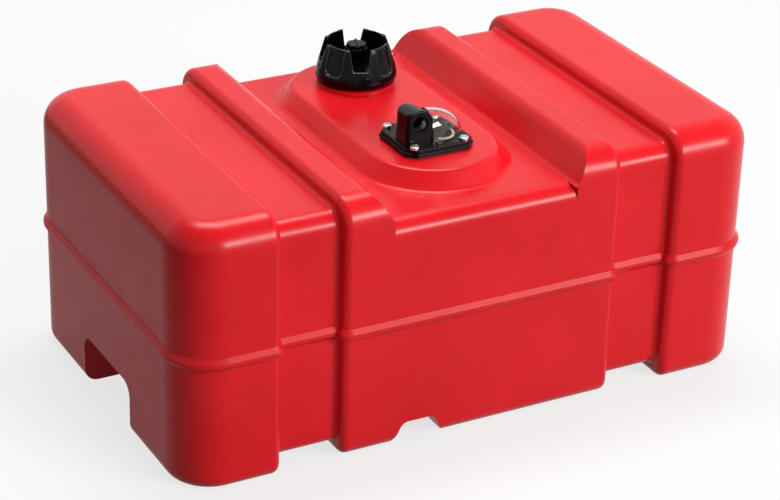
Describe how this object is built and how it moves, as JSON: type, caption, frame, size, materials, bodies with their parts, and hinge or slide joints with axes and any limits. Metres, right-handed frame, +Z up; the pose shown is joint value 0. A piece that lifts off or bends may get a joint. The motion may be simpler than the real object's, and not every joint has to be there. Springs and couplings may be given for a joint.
{
  "type": "outboard fuel tank",
  "caption": "Portable moulded fuel tank with strap grooves, a vented screw cap and a withdrawal head with a fuel port and a sight gauge.",
  "frame": {"origin": "on the ground plane, under the middle of the tank", "axes": "+X along the tank's length, to the right in the picture; +Y across it, away from the camera; +Z up"},
  "size_m": [0.591, 0.359, 0.2833],
  "materials": {
    "tank_red": "satin moulded polyethylene",
    "black_plastic": "satin",
    "grey_knob": "satin",
    "rubber_seal": "matt",
    "brass": "machined",
    "zinc_steel": "bright zinc",
    "port_metal": "machined",
    "clear_lens": "clear moulded plastic",
    "dial_cream": "satin",
    "float_black": "closed-cell foam",
    "strainer_white": "satin"
  },
  "bodies": {
    "tank": {"tank_shell": "tank_red", "filler_neck": "tank_red", "screw_inserts": "brass", "head_gasket": "rubber_seal", "withdrawal_head": "black_plastic", "port_bush": "port_metal", "head_screws": "zinc_steel", "sight_lens": "clear_lens", "gauge_bush": "brass", "gauge_dial": "dial_cream", "guide_rods": "zinc_steel", "foot_plate": "black_plastic", "pickup_tube": "zinc_steel", "pickup_strainer": "strainer_white"},
    "cap_ring": {"cap_gasket": "rubber_seal"},
    "cap": {"cap_crown": "black_plastic", "cap_disc": "black_plastic"},
    "vent": {"vent_knob": "grey_knob", "vent_stem": "brass", "vent_seal": "rubber_seal", "vent_nut": "brass"},
    "float": {"gauge_float": "float_black", "strip_follower": "strainer_white"},
    "indicator": {"twist_strip": "zinc_steel", "gauge_cone": "black_plastic"}
  },
  "joints": [
    {"name": "cap_lift", "type": "slide", "parent": "tank", "child": "cap_ring", "axis": [0, 0, 1], "range_m": [0, 0.09]},
    {"name": "cap_turn", "type": "hinge", "parent": "cap_ring", "child": "cap", "pos_m": [0.0044, 0.0875, 0.2595], "axis": [0, 0, 1], "range_deg": [0, 540]},
    {"name": "vent_turn", "type": "hinge", "parent": "cap", "child": "vent", "pos_m": [0.0044, 0.0875, 0.264], "axis": [0, 0, 1], "range_deg": [0, 540]},
    {"name": "float_slide", "type": "slide", "parent": "tank", "child": "float", "axis": [0, 0, 1], "range_m": [0, 0.165]},
    {"name": "gauge_turn", "type": "hinge", "parent": "tank", "child": "indicator", "pos_m": [0.008, -0.07, 0.2495], "axis": [0, 0, 1], "range_deg": [-300, 0]}
  ],
  "couplings": [
    {"joint": "gauge_turn", "follows": "float_slide", "rad_per_m": -31.733}
  ]
}
